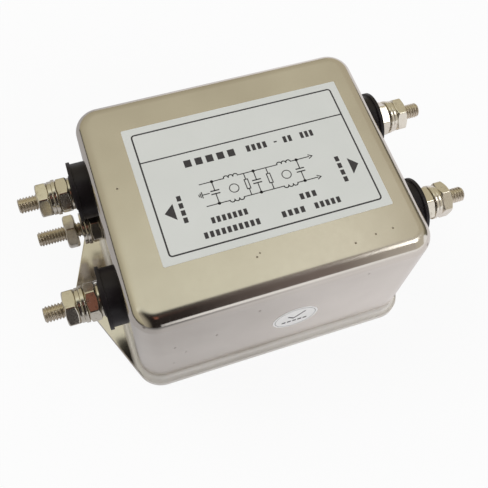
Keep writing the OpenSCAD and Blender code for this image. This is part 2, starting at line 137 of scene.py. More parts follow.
class Nodes:
    """A node tree, where one call adds a node with its settings and its inputs."""

    def __init__(self, tree):
        self.tree = tree
        tree.nodes.clear()

    def node(self, kind, settings=None, values=None, out=0):
        node = self.tree.nodes.new(kind)
        for key, value in (settings or {}).items():
            if key == "stops":
                stops = node.color_ramp.elements
                for i, (place, colour) in enumerate(value):
                    stop = stops[i] if i < 2 else stops.new(place)
                    stop.position = place
                    stop.color = (*colour, 1.0)
            else:
                setattr(node, key, value)
        for key, value in (values or {}).items():
            plug(self.tree, node.inputs[key], value)
        return Term(self.tree, node.outputs[out]) if node.outputs else node

    def ramp(self, share, *stops):
        return self.node("ShaderNodeValToRGB", {"stops": stops}, {0: share})

    def mix(self, share, first, second):
        """One colour blended into another."""
        return self.node("ShaderNodeMix", {"data_type": "RGBA"}, {0: share, 6: first, 7: second}, out=2)

    def parts(self, vector, count=2):
        """The X, Y and Z of a vector."""
        split = self.node("ShaderNodeSeparateXYZ", values={0: vector})
        return [split.other(i) for i in range(count)]


def stage_piece(name, quads, material):
    """A backdrop from the corners of its flat quads."""
    mesh = bpy.data.meshes.new(name)
    mesh.from_pydata([corner for quad in quads for corner in quad], [],
                     [tuple(range(4 * i, 4 * i + 4)) for i in range(len(quads))])
    mesh.materials.append(material)
    piece = bpy.data.objects.new(name, mesh)
    bpy.context.collection.objects.link(piece)
    return piece


# The sky lights the part at a plain level, and is white wherever it is seen.
world = bpy.data.worlds.new("white_room")
bpy.context.scene.world = world
world.use_nodes = True
sky = Nodes(world.node_tree)
rays = sky.node("ShaderNodeLightPath")
seen = (rays.other("Is Camera Ray") + rays.other("Is Glossy Ray") + rays.other("Is Transmission Ray")).clamp()
sky.node("ShaderNodeOutputWorld", values={"Surface": sky.node("ShaderNodeMixShader", values={
    0: seen,
    1: sky.node("ShaderNodeBackground", values={"Color": (1.0, 1.0, 1.0), "Strength": SKY_LIGHT}),
    2: sky.node("ShaderNodeBackground", values={"Color": (1.0, 1.0, 1.0), "Strength": 1.0}),
})})

# The camera sees the table nearly white, with a trace of the part's shadow. In a mirror it is dim at the line
# end and bright at the load end, with a bright strip along the can's front and a dark patch further off.
table_paint = bpy.data.materials.new("table_white")
table_paint.use_nodes = True
table = Nodes(table_paint.node_tree)
rays = table.node("ShaderNodeLightPath")
white = table.node("ShaderNodeEmission", values={"Color": (1.0, 1.0, 1.0), "Strength": 1.0})
across, ahead = table.parts(table.node("ShaderNodeTexCoord", out="Object"))
strip = ahead.fade(-0.046, -0.037) * ahead.fade(-0.02, -0.03)
sheen = table.ramp((across + 0.05) / 0.10 + strip * 0.24,
                   (0.0, (0.38, 0.365, 0.37)), (0.5, (0.62, 0.60, 0.61)), (1.0, (0.86, 0.83, 0.84)))
patch = ahead.fade(-0.12, -0.27) * across.fade(0.10, 0.0)
sheen = table.mix(patch, sheen, (0.03, 0.025, 0.022))
mirrored = table.node("ShaderNodeEmission", values={"Color": sheen, "Strength": 1.0})
paint = table.node("ShaderNodeBsdfDiffuse", values={"Color": TABLE_COLOUR})
lit = table.node("ShaderNodeMixShader", values={
    0: rays.other("Is Camera Ray") * TABLE_WHITE, 1: paint, 2: white})
table.node("ShaderNodeOutputMaterial", values={"Surface": table.node("ShaderNodeMixShader", values={
    0: rays.other("Is Glossy Ray") * TABLE_MIRRORED, 1: lit, 2: mirrored})})
corners = ((-1, -1), (1, -1), (1, 1), (-1, 1))
stage_piece("table", [[(x * TABLE_HALF, y * TABLE_HALF, 0.0) for x, y in corners]], table_paint)


def card(name, quads, material):
    """A card that only mirrors see."""
    piece = stage_piece(name, quads, material)
    piece.visible_camera = False
    piece.visible_diffuse = False
    piece.visible_shadow = False
    piece.visible_transmission = False


class Glow(Nodes):
    """The glow of a card, which may change with the place across, ahead and up."""

    def __init__(self, name):
        self.material = bpy.data.materials.new(name)
        self.material.use_nodes = True
        super().__init__(self.material.node_tree)
        self.across, self.ahead, self.up = self.parts(self.node("ShaderNodeTexCoord", out="Object"), 3)

    def shine(self, colour):
        light = self.node("ShaderNodeEmission", values={"Color": colour, "Strength": 1.0})
        self.node("ShaderNodeOutputMaterial", values={"Surface": light})
        return self.material


# The ceiling and the screen are one arch about X. Its angles run from the front over the top to the back, and
# the screen is the part of it that stands in front.
ARCH_R = 1.0
ARCH_ENDS = (-1.2, 1.6)
ARCH_ANGLES = (17.0, 178.0)
SCREEN_L = 1.8
LOW_SCREEN = (ARCH_ENDS[0], 0.02, 1.0, 17.0)
arch = Glow("arch_glow")
angle = arch.up.math("ARCTAN2", arch.up, arch.ahead * -1.0) * (180 / pi)
ceiling = arch.ramp((angle - 100.0) / 80.0, (0.0, (0.87, 0.86, 0.71)), (0.11, (0.84, 0.83, 0.68)),
                    (0.22, (0.69, 0.66, 0.50)), (0.36, (0.55, 0.51, 0.38)), (1.0, (0.42, 0.38, 0.27)))
ceiling = arch.mix(arch.across.fade(0.40, 0.50), ceiling, (0.55, 0.50, 0.37))
bright = arch.across.fade(0.15, 0.35) * arch.across.fade(0.45, 0.40) * angle.fade(119.0, 109.0)
ceiling = arch.mix(bright, ceiling, (1.05, 1.03, 0.88))
screen = arch.ramp((arch.across - ARCH_ENDS[0]) / SCREEN_L,
                   (0.0, (0.46, 0.43, 0.34)), (0.20, (0.36, 0.33, 0.26)), (0.42, (0.016, 0.013, 0.012)),
                   (0.70, (0.026, 0.021, 0.019)), (0.783, (0.14, 0.115, 0.105)), (0.833, (0.20, 0.16, 0.15)),
                   (0.873, (0.28, 0.25, 0.22)), (0.913, (0.55, 0.51, 0.46)), (1.0, (0.60, 0.56, 0.47)))
arch.shine(arch.mix(angle.fade(93.0, 103.0), screen, ceiling))


def arch_quads(x0, x1, low, high, radius=ARCH_R, steps=16):
    """A stretch of the arch from x0 to x1, between two angles in degrees."""
    turns = [radians(low + (high - low) * i / steps) for i in range(steps + 1)]
    return [[(x0, -radius * cos(a), radius * sin(a)), (x1, -radius * cos(a), radius * sin(a)),
             (x1, -radius * cos(b), radius * sin(b)), (x0, -radius * cos(b), radius * sin(b))]
            for a, b in zip(turns, turns[1:])]


def end_wall(name, x, front, low, material):
    back, high = ARCH_R, ARCH_R
    card(name, [[(x, front, low), (x, back, low), (x, back, high), (x, front, high)]], material)


card("arch", arch_quads(*LOW_SCREEN, steps=2) + arch_quads(*ARCH_ENDS, *ARCH_ANGLES), arch.material)
line_wall = Glow("line_wall_glow")
line_wall.shine(line_wall.ramp(line_wall.up, (0.0, (0.03, 0.025, 0.018)), (0.13, (0.05, 0.045, 0.03)),
                               (0.21, (0.42, 0.39, 0.28)), (1.0, (0.62, 0.58, 0.43))))
end_wall("line_end_wall", ARCH_ENDS[0], -ARCH_R, 0.0, line_wall.material)
load_wall = Glow("load_wall_glow")
load_wall.shine(load_wall.ramp(load_wall.up, (0.0, (0.10, 0.09, 0.065)), (0.5, (0.17, 0.155, 0.11)),
                               (1.0, (0.42, 0.38, 0.27))))
end_wall("load_end_wall", ARCH_ENDS[1], -0.2, 0.03, load_wall.material)

# Two cards hang just inside the arch, each between two places along X and two angles.
BROWN_CARD = (-0.17, -0.03, 60.0, 76.0)
WINDOW_PANE = (0.435, 0.61, 66.0, 86.0)
brown_glow = Glow("brown_glow").shine((0.27, 0.11, 0.075))
card("brown_card", arch_quads(*BROWN_CARD, radius=0.97, steps=2), brown_glow)
pane_glow = Glow("pane_glow").shine((4.5, 4.5, 4.3))
card("window_pane", arch_quads(*WINDOW_PANE, radius=0.95, steps=4), pane_glow)

LAMP_AIM = Vector((0.0, 0.0, 0.02))
for name, place, size, power in (("lamp_back_left", (-0.55, 0.55, 0.85), 0.7, 3.6),
                                 ("lamp_front_right", (0.55, -0.75, 0.55), 0.6, 3.2)):
    lamp = bpy.data.lights.new(name, "AREA")
    lamp.size = size
    lamp.energy = power
    holder = bpy.data.objects.new(name, lamp)
    aim = (LAMP_AIM - Vector(place)).to_track_quat("-Z", "Y")
    holder.matrix_world = Matrix.Translation(place) @ aim.to_matrix().to_4x4()
    holder.visible_glossy = False
    bpy.context.collection.objects.link(holder)

# Base plate
# A flat steel plate of the can's eared outline, blanked from sheet and nickel-plated, lies under the can's
# flange and closes it. A mounting screw goes through both at each ear.
FLANGE_W = 0.0015
FLANGE_CORNER_R = 0.0072
CAN_L, CAN_W = 0.0784, 2 * (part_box("can")[1].y - FLANGE_W)
CAN_CORNER = 0.0066
CAN_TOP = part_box("can")[1].z
TOP_R = 0.0040
FOOT_R = 0.0010
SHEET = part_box("base_plate")[1].z
FLANGE_CORNER = (CAN_L / 2 + FOOT_R - FLANGE_CORNER_R, CAN_W / 2 + FLANGE_W - FLANGE_CORNER_R)
EAR_TIP = (0.045, 0.0)
EAR_TIP_R = 0.006
HOLE_R = 0.00225
EDGE = 0.00010
PALE_TOP, PALE_FADE = 0.0054, 0.0026
BLEND = 0.0008


class Finish(Nodes):
    """A piece's finish: one Principled shader whose sockets take numbers, colours or patterns."""

    def __init__(self, name, **constants):
        self.material = bpy.data.materials.new(name)
        self.material.use_nodes = True
        super().__init__(self.material.node_tree)
        self.shader = self.node("ShaderNodeBsdfPrincipled")
        self.node("ShaderNodeOutputMaterial", values={"Surface": self.shader})
        self.place = self.node("ShaderNodeTexCoord", out="Object")
        self.normal = None
        for key, value in constants.items():
            self.set(key.replace("_", " "), value)

    def set(self, socket, value):
        plug(self.tree, self.shader.socket.node.inputs[socket], value)

    def stretched(self, factors):
        return self.node("ShaderNodeMapping", values={"Vector": self.place, "Scale": factors})

    def noise(self, scale, detail, place=None):
        values = {"Vector": place or self.place, "Scale": scale, "Detail": detail}
        return self.node("ShaderNodeTexNoise", values=values)

    def distance(self, place):
        ends = {0: self.place, 1: place}
        return self.node("ShaderNodeVectorMath", {"operation": "DISTANCE"}, ends, out="Value")

    def specks(self, scale, size):
        """Dots of the given size, a share of their spacing."""
        cells = {"Vector": self.place, "Scale": scale}
        near = self.node("ShaderNodeTexVoronoi", values=cells, out="Distance")
        return ((size - near) / (size * 0.5)).clamp()

    def bump(self, height, distance, strength=1.0):
        values = {"Height": height, "Distance": distance, "Strength": strength}
        if self.normal:
            values["Normal"] = self.normal
        self.normal = self.node("ShaderNodeBump", values=values)
        self.set("Normal", self.normal)


def nickel_sheet(name, light, dark, specks=()):
    """Nickel plate over drawn sheet steel: satin, a little wavy and clouded, brighter on the top's rounding,
    where the die ironed it, and paler, less metallic and matt towards the foot. Specks of dirt are (place,
    radius) pairs."""
    finish = Finish(name)
    clouds = finish.noise(38.0, 3.0)
    streaks = finish.noise(700.0, 3.0, finish.stretched((1.0, 1.0, 0.05)))
    grain = finish.noise(5200.0, 2.0)
    gate = ((finish.noise(90.0, 1.0) - 0.60) * 12.0).clamp()
    pits = finish.specks(120.0, 0.035) * gate
    for place, radius in specks:
        away = finish.distance(place)
        pits = pits.math("MAXIMUM", pits, (1.6 - away / radius).clamp() * 0.9)
    across, ahead, height = finish.parts(finish.place, 3)
    wall_end = CAN_L / 2 + FOOT_R
    on_ear = across.math("ABSOLUTE", across).fade(wall_end, wall_end + BLEND)
    # Towards the foot, away from the ears, the colour turns pale and the nickel less metallic and matt.
    foot = ((PALE_TOP - height) / PALE_FADE + (clouds - 0.5)).clamp() * (1.0 - on_ear)
    rounding = CAN_TOP - TOP_R - BLEND / 4
    ironed = height.fade(rounding, rounding + BLEND) * height.fade(CAN_TOP - 0.00008, CAN_TOP - 0.00033)
    colour = finish.mix(((clouds - 0.35) * 2.2).clamp(), dark, light)
    colour = finish.mix(foot * 0.6, colour, (0.84, 0.82, 0.80))
    colour = finish.mix(pits * 0.85, colour, (0.10, 0.07, 0.05))
    finish.set("Base Color", colour)
    finish.set("Roughness", (0.17 + clouds * 0.10 + (grain - 0.5) * 0.08 + (streaks - 0.5) * 0.06 + pits * 0.3
                             + foot * 0.30 - ironed * 0.08 - on_ear * 0.07))
    finish.set("Metallic", 1.0 - foot * 0.5)
    finish.bump(finish.noise(60.0, 2.0), 0.00012, 0.5)
    finish.bump(grain, 0.000003, 0.6)
    finish.bump(pits, -0.00003, 0.7)
    return finish.material


def arc(middle, radius, start, stop, steps):
    angles = [start + (stop - start) * i / steps for i in range(steps + 1)]
    return [(middle[0] + radius * cos(angle), middle[1] + radius * sin(angle)) for angle in angles]


def eared_outline(inset=0.0):
    """The plate's outline, drawn in: arcs about the tips and the corners, joined by straight edges."""
    reach = (FLANGE_CORNER[0] - EAR_TIP[0], FLANGE_CORNER[1])
    lean = atan2(reach[1], reach[0]) - acos((EAR_TIP_R - FLANGE_CORNER_R) / hypot(*reach))
    tip = arc(EAR_TIP, EAR_TIP_R - inset, -lean, lean, 14)
    corner = arc(FLANGE_CORNER, FLANGE_CORNER_R - inset, lean, pi / 2, 14)
    right = tip + corner
    left = [(-x, y) for x, y in reversed(corner)]
    half = right + left
    return half + [(-x, -y) for x, y in half]


def level(outline, z):
    return [(x, y, z) for x, y in outline]


def circle(x, y, radius, steps=40):
    return arc((x, y), radius, 0.0, 2 * pi * (steps - 1) / steps, steps - 1)


class Shell:
    """A mesh built from closed rings of points, joined ring to ring or filled between."""

    def __init__(self):
        self.bm = bmesh.new()

    def ring(self, points):
        return [self.bm.verts.new(point) for point in points]

    def join(self, *rings):
        for a, b in zip(rings, rings[1:]):
            for i in range(len(a)):
                j = (i + 1) % len(a)
                self.bm.faces.new((a[i], a[j], b[j], b[i]))

    def cap(self, *rings):
        for ring in rings:
            self.bm.faces.new(ring)

    def flat(self, *rings):
        """Fills the flat between an outline and the holes in it."""
        edges = []
        for ring in rings:
            for a, b in zip(ring, ring[1:] + ring[:1]):
                edges.append(self.bm.edges.get((a, b)) or self.bm.edges.new((a, b)))
        bmesh.ops.triangle_fill(self.bm, edges=edges, use_beauty=True)

    def tunnel(self, x, y, radius, low, high, ease=0.00008):
        """A round hole's wall with eased rims. Gives back its rings at the lower and the upper face."""
        rings = [self.ring(level(circle(x, y, radius + out), z)) for out, z in (
            (ease, low), (0.0, low + ease), (0.0, high - ease), (ease, high))]
        self.join(*rings)
        return rings[0], rings[-1]

    def object(self, name, material=None, crease=35.0):
        bmesh.ops.recalc_face_normals(self.bm, faces=self.bm.faces)
        mesh = bpy.data.meshes.new(name)
        self.bm.to_mesh(mesh)
        self.bm.free()
        return made(name, mesh, material, crease)


def made(name, mesh, material=None, crease=35.0):
    """A piece from its mesh, shaded smooth but for edges over the crease angle."""
    mesh.shade_smooth()
    mesh.set_sharp_from_angle(angle=radians(crease))
    if material:
        mesh.materials.clear()
        mesh.materials.append(material)
    piece = bpy.data.objects.new(name, mesh)
    bpy.context.collection.objects.link(piece)
    return piece


def eared_sheet(shell, low, high):
    """The edge of an eared sheet and its two holes' walls. Gives back the rings about its two faces."""
    edge = [shell.ring(level(eared_outline(inset), z)) for inset, z in (
        (EDGE * 3, low), (EDGE, low), (EDGE * 0.3, low + EDGE * 0.3), (0.0, low + EDGE),
        (0.0, high - EDGE), (EDGE * 0.3, high - EDGE * 0.3), (EDGE, high), (EDGE * 3, high))]
    shell.join(*edge)
    holes = [shell.tunnel(x, 0.0, HOLE_R, low, high) for x in (-EAR_TIP[0], EAR_TIP[0])]
    return [edge[0], *(under for under, over in holes)], [edge[-1], *(over for under, over in holes)]


base_nickel = nickel_sheet("base_nickel", (0.70, 0.66, 0.60), (0.56, 0.52, 0.46))
shell = Shell()
under, over = eared_sheet(shell, 0.0, SHEET)
shell.flat(*under)
shell.flat(*over)
base_plate = shell.object("closing_plate", base_nickel)
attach(base_plate, "case")
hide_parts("base_plate")


# Insulating sheet, standoffs, board and its screws
# A pressed sheet keeps the circuit off the base plate. The bare laminate board stands over it on four
# zinc-plated standoffs, and a slotted screw holds it to each.
def dress(material, *nodes):
    """Gives a material to the slots of CAD nodes that stay as they are."""
    for name in nodes:
        for piece_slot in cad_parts[name].material_slots:
            piece_slot.material = material


pressed = Finish("pressed_sheet", Roughness=0.85)
fibres = pressed.noise(900.0, 4.0, pressed.stretched((1.0, 0.15, 1.0)))
pressed.set("Base Color", pressed.mix(fibres, (0.42, 0.34, 0.22), (0.58, 0.50, 0.34)))
pressed.bump(fibres, 0.00003)
dress(pressed.material, "insulating_sheet")

laminate = Finish("board_laminate", Coat_Roughness=0.3)
weave = laminate.noise(1400.0, 2.0, laminate.stretched((1.0, 0.3, 1.0)))
laminate.set("Base Color", laminate.mix(weave, (0.34, 0.22, 0.07), (0.50, 0.37, 0.14)))
laminate.set("Roughness", 0.42 + weave * 0.15)
laminate.bump(weave, 0.00001)
dress(laminate.material, "circuit_board")

zinc = Finish("zinc_plate", Metallic=1.0)
spangle = zinc.noise(1100.0, 3.0)
zinc.set("Base Color", zinc.mix(spangle, (0.50, 0.51, 0.53), (0.66, 0.67, 0.69)))
zinc.set("Roughness", 0.28 + spangle * 0.18)
zinc.bump(spangle, 0.000004)
dress(zinc.material, "board_standoffs", "board_screws")

# Chokes
# Two ring cores of coated ferrite in a row, each wound with two windings of thick enamelled wire. A moulded
# plate stands in each core's bore and parts its windings.
ferrite = Finish("coated_ferrite")
speckle = ferrite.noise(3000.0, 3.0)
ferrite.set("Base Color", ferrite.mix(speckle, (0.035, 0.036, 0.04), (0.08, 0.08, 0.085)))
ferrite.set("Roughness", 0.5 + speckle * 0.2)
ferrite.bump(speckle, 0.00001)
dress(ferrite.material, "line_choke_core", "load_choke_core")

enamel = Finish("enamelled_wire", Metallic=0.9, Coat_Weight=0.6)
drawn = enamel.noise(1500.0, 3.0)
enamel.set("Base Color", enamel.mix(drawn, (0.42, 0.14, 0.05), (0.62, 0.26, 0.10)))
enamel.set("Roughness", 0.22 + drawn * 0.12)
enamel.bump(drawn, 0.000004)
dress(enamel.material, "line_choke_windings", "load_choke_windings")

ivory = Finish("moulded_plate")
mottle = ivory.noise(800.0, 3.0)
ivory.set("Base Color", ivory.mix(mottle, (0.70, 0.66, 0.55), (0.80, 0.77, 0.66)))
ivory.set("Roughness", 0.45 + mottle * 0.12)
ivory.bump(mottle, 0.000006)
dress(ivory.material, "line_choke_divider", "load_choke_divider")

# Capacitors and resistor
# Three box capacitors stand in the back row. In front stand two dipped disc capacitors and, between them, the
# lacquered bleed resistor.
box_case = Finish("box_capacitor_case")
swirl = box_case.noise(260.0, 3.0)
box_case.set("Base Color", box_case.mix(swirl, (0.60, 0.40, 0.06), (0.74, 0.53, 0.11)))
box_case.set("Roughness", 0.30 + swirl * 0.12)
box_case.bump(box_case.noise(2600.0, 2.0), 0.000005)
dress(box_case.material, "x_capacitor_line", "x_capacitor_middle", "x_capacitor_load")

dipped = Finish("dipped_coating", Coat_Weight=0.4)
ripple = dipped.noise(500.0, 3.0)
dipped.set("Base Color", dipped.mix(ripple, (0.06, 0.17, 0.38), (0.10, 0.25, 0.50)))
dipped.set("Roughness", 0.28 + ripple * 0.15)
dipped.bump(ripple, 0.00004)
dress(dipped.material, "y_capacitors")

lacquer = Finish("resistor_lacquer", Coat_Weight=0.5)
tint = lacquer.noise(600.0, 2.0)
lacquer.set("Base Color", lacquer.mix(tint, (0.20, 0.38, 0.50), (0.32, 0.52, 0.62)))
lacquer.set("Roughness", 0.30 + tint * 0.1)
lacquer.bump(tint, 0.00001)
dress(lacquer.material, "bleed_resistor")

# Inner bushes, lugs, nuts and lead wires
# Inside each end wall the studs carry an inner bush, a stamped brass ring lug and a nut, and an insulated
# lead wire drops from each lug to the board. All of this is closed in by the can.
brass = Finish("lug_brass", Metallic=1.0)
roll = brass.noise(900.0, 3.0, brass.stretched((1.0, 1.0, 0.2)))
brass.set("Base Color", brass.mix(roll, (0.68, 0.50, 0.20), (0.82, 0.66, 0.34)))
brass.set("Roughness", 0.26 + roll * 0.14)
brass.bump(roll, 0.000005)
dress(brass.material, "ring_lugs")

sleeve = Finish("wire_sleeve")
skin = sleeve.noise(1200.0, 2.0)
sleeve.set("Base Color", sleeve.mix(skin, (0.36, 0.03, 0.025), (0.50, 0.06, 0.045)))
sleeve.set("Roughness", 0.42 + skin * 0.15)
sleeve.bump(skin, 0.00001)
dress(sleeve.material, "lead_wires")

# Can
# One piece of sheet steel, deep-drawn into a box with rounded corners and a rounded top edge, and trimmed to
# an eared flange at its foot. It is nickel-plated all over, and bored for the bushes and the earth stud.
WALL = 0.0008
FLAT = 0.00015
BUSH_BORE_R = 0.00456
EARTH_BORE_R = 0.002145
MM = 0.001

# Specks of dirt with their radii, in millimetres: on the top, on the front wall and at the front corners.
TOP_SPECKS = ((-33.2, 5.5, 0.24), (-6.1, -22.4, 0.22), (-5.1, -21.6, 0.18), (18.3, -26.0, 0.22),
              (24.1, -25.2, 0.20), (28.9, -24.9, 0.20))
FRONT_SPECKS = ((-19.0, 26.3, 0.26), (-8.2, 34.9, 0.26), (-30.0, 26.2, 0.24), (-27.2, 20.1, 0.20),
                (-30.6, 13.6, 0.18), (20.5, 38.1, 0.20))
CORNER_SPECKS = ((36.2, -30.6, 41.6, 0.45), (-36.6, -30.9, 42.2, 0.40))
specks = [((x * MM, y * MM, CAN_TOP), radius * MM) for x, y, radius in TOP_SPECKS]
specks += [((x * MM, -CAN_W / 2, z * MM), radius * MM) for x, z, radius in FRONT_SPECKS]
specks += [((x * MM, y * MM, z * MM), radius * MM) for x, y, z, radius in CORNER_SPECKS]
can_nickel = nickel_sheet("can_nickel", (0.78, 0.74, 0.69), (0.66, 0.62, 0.57), specks)


def rounded_outline(half_l, half_w, radius, inset=0.0, steps=6, flat=None):
    """A rectangle with round corners, drawn in. A short flat at both ends of each corner keeps walls flat."""
    points = []
    for turn, (x, y) in enumerate(((1, 1), (-1, 1), (-1, -1), (1, -1))):
        start, stop = turn * pi / 2, (turn + 1) * pi / 2
        corner = arc((x * (half_l - radius), y * (half_w - radius)), radius - inset, start, stop, steps)
        if flat:
            corner.insert(0, (corner[0][0] + flat * sin(start), corner[0][1] - flat * cos(start)))
            corner.append((corner[-1][0] - flat * sin(stop), corner[-1][1] + flat * cos(stop)))
        points += corner
    return points


def can_outline(inset):
    return rounded_outline(CAN_L / 2, CAN_W / 2, CAN_CORNER, inset, 18, FLAT)


def quarter(steps):
    return [pi / 2 * i / steps for i in range(steps + 1)]


# The outside and the inside are rings, each drawn in by its inset, from the top down.
shell = Shell()
foot = SHEET + WALL + FOOT_R
outside = [(TOP_R + FLAT, CAN_TOP)]
outside += [(TOP_R * (1 - sin(a)), CAN_TOP - TOP_R * (1 - cos(a))) for a in quarter(18)]
outside += [(0.0, CAN_TOP - TOP_R - FLAT), (0.0, foot + FLAT)]
outside += [(-FOOT_R * (1 - cos(a)), foot - FOOT_R * sin(a)) for a in quarter(8)]
outside += [(-FOOT_R - FLAT, SHEET + WALL)]
outer = [shell.ring(level(can_outline(inset), z)) for inset, z in outside]
shell.join(*outer)
shell.cap(outer[0])

inner_r = TOP_R - WALL
roof = CAN_TOP - WALL
inside = [(WALL + inner_r + FLAT, roof)]
inside += [(WALL + inner_r * (1 - sin(a)), roof - inner_r * (1 - cos(a))) for a in quarter(8)]
inside += [(WALL, roof - inner_r - FLAT), (WALL, SHEET)]
inner = [shell.ring(level(can_outline(inset), z)) for inset, z in inside]
shell.join(*inner)
shell.cap(inner[0])

under, over = eared_sheet(shell, SHEET, SHEET + WALL)
shell.flat(outer[-1], *over)
shell.flat(inner[-1], *under)
blank = shell.object("can_blank")


def middle_of(node):
    low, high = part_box(node)
    return Vector([(a + b) / 2 for a, b in zip(low, high)])


TERMINALS = {name: middle_of(name + "_plain_washer")
             for name in ("line_back", "line_front", "load_back", "load_front", "earth")}


def end_of(name):
    """The end that a terminal stands at, -1 for line and 1 for load."""
    return 1 if TERMINALS[name].x > 0 else -1


def evaluated(piece):
    """A plain mesh of a piece with its modifiers carried out. The piece itself is taken away."""
    graph = bpy.context.evaluated_depsgraph_get()
    graph.update()
    mesh = bpy.data.meshes.new_from_object(
        piece.evaluated_get(graph), preserve_all_data_layers=True, depsgraph=graph)
    bpy.data.objects.remove(piece)
    return mesh


# Each wall is bored by cylinders that overrun it on both sides.
OVERRUN = 0.003

shell = Shell()
for name, centre in TERMINALS.items():
    rim = circle(centre.y, centre.z, EARTH_BORE_R if name == "earth" else BUSH_BORE_R, 64)
    ends = [shell.ring([(end_of(name) * x, y, z) for y, z in rim])
            for x in (CAN_L / 2 - OVERRUN, CAN_L / 2 + OVERRUN)]
    shell.join(*ends)
    shell.cap(*ends)
drills = shell.object("drills")
bore = blank.modifiers.new("bores", "BOOLEAN")
bore.operation = "DIFFERENCE"
bore.solver = "EXACT"
bore.object = drills
can = made("drawn_can", evaluated(blank), can_nickel)
bpy.data.objects.remove(drills)
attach(can, "case")
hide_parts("can")

# Outer bushes
# Four black moulded bushes, two in each end wall, keep the power studs off the can. Each has a plain barrel,
# a thin lip at its outer end and a low hub, where the stud's washer seats.
BUSH_R = 0.00765
BUSH_OUT = 0.0047
LIP_R, LIP_T = 0.0082, 0.0010
HUB_R, HUB_T = 0.0047, 0.0003
SPIGOT_R, SPIGOT_IN = 0.0045, 0.0030
STUD_R = 0.002085
BORE_R = STUD_R + 0.00006


def eased(profile, ease=0.00012, steps=3):
    """A closed profile of (radius, height) points with every corner rounded."""
    points = []
    for i, here in enumerate(profile):
        here = Vector(here)
        back = Vector(profile[i - 1]) - here
        on = Vector(profile[(i + 1) % len(profile)]) - here
        reach = min(ease, back.length * 0.45, on.length * 0.45)
        start, stop = here + back.normalized() * reach, here + on.normalized() * reach
        for k in range(steps + 1):
            t = k / steps
            points.append(start * (1 - t) ** 2 + here * 2 * t * (1 - t) + stop * t ** 2)
    return points


def turned_part(name, profile, ease=0.00012, steps=96):
    """A turned or moulded round part about Z."""
    shell = Shell()
    rings = [shell.ring(level(circle(0, 0, r, steps), z)) for r, z in eased(profile, ease)]
    shell.join(*rings, rings[0])
    return shell.object(name)


def facing(name, turn):
    """Turns a part made about Z to stand out of its end wall, at an angle from straight up to the front."""
    out = Matrix.Rotation(pi / 2, 3, "Y")
    if end_of(name) > 0:
        return out @ Matrix.Rotation(pi + turn, 3, "Z")
    return Matrix.Rotation(pi, 3, "Z") @ out @ Matrix.Rotation(pi - turn, 3, "Z")


def seat(name, out, turn=0.0):
    """Where a part stands on a terminal's stud: its place, out from the wall, and its turn."""
    place = Vector((end_of(name) * (CAN_L / 2 + out), TERMINALS[name].y, TERMINALS[name].z))
    return place, facing(name, radians(turn)).to_euler()


def input_socket(tree, name, kind, value=None):
    socket = tree.interface.new_socket(name, in_out="INPUT", socket_type=kind)
    if value is not None:
        socket.default_value = value


def finished(nodes, given, shape, name):
    """Ends a node group: its shape is made a plain mesh in the given finish, and handed out under a name."""
    nodes.tree.interface.new_socket(name, in_out="OUTPUT", socket_type="NodeSocketGeometry")
    paint = {"Geometry": nodes.node("GeometryNodeRealizeInstances", values={0: shape}),
             "Material": given.other("Finish")}
    nodes.node("NodeGroupOutput", values={name: nodes.node("GeometryNodeSetMaterial", values=paint)})
    return nodes.tree


def stand_tree():
    """A node group that stands a copy of a part on every point of a mesh, turned by the point's own turn."""
    tree = bpy.data.node_groups.new("stand_on_studs", "GeometryNodeTree")
    input_socket(tree, "Seats", "NodeSocketGeometry")
    input_socket(tree, "Part", "NodeSocketObject")
    input_socket(tree, "Finish", "NodeSocketMaterial")
    nodes = Nodes(tree)
    given = nodes.node("NodeGroupInput")
    part = nodes.node("GeometryNodeObjectInfo", values={"Object": given.other("Part")}, out="Geometry")
    turn = nodes.node("GeometryNodeInputNamedAttribute", {"data_type": "FLOAT_VECTOR"}, {"Name": "turn"})
    rotation = nodes.node("FunctionNodeEulerToRotation", values={0: turn})
    copies = nodes.node("GeometryNodeInstanceOnPoints", values={
        "Points": given.other("Seats"), "Instance": part, "Rotation": rotation})
    return finished(nodes, given, copies, "Parts")


STAND = stand_tree()


def set_input(modifier, name, value):
    for item in modifier.node_group.interface.items_tree:
        if item.item_type == "SOCKET" and item.in_out == "INPUT" and item.name == name:
            modifier[item.identifier] = value


def stand(name, part, seats, material, crease=35.0):
    """One piece made of a part's copies, each on its seat."""
    mesh = bpy.data.meshes.new(name)
    mesh.from_pydata([place for place, turn in seats], [], [])
    turns = mesh.attributes.new("turn", "FLOAT_VECTOR", "POINT")
    for i, (place, turn) in enumerate(seats):
        turns.data[i].vector = turn
    piece = bpy.data.objects.new(name, mesh)
    bpy.context.collection.objects.link(piece)
    modifier = piece.modifiers.new("stand", "NODES")
    modifier.node_group = STAND
    set_input(modifier, "Part", part)
    set_input(modifier, "Finish", material)
    mesh = evaluated(piece)
    if "turn" in mesh.attributes:
        mesh.attributes.remove(mesh.attributes["turn"])
    return made(name, mesh, material, crease)


moulding = Finish("bush_moulding", Specular_IOR_Level=0.38)
flow = moulding.noise(420.0, 3.0)
dust = ((moulding.noise(1500.0, 3.0) - 0.55) * 4.0).clamp()
moulding.set("Base Color", moulding.mix(dust * 0.35, (0.009, 0.006, 0.009), (0.026, 0.021, 0.025)))
moulding.set("Roughness", 0.30 + flow * 0.22 + dust * 0.10)
moulding.bump(moulding.noise(3600.0, 2.0), 0.000006)
moulding.bump(flow, 0.00003)

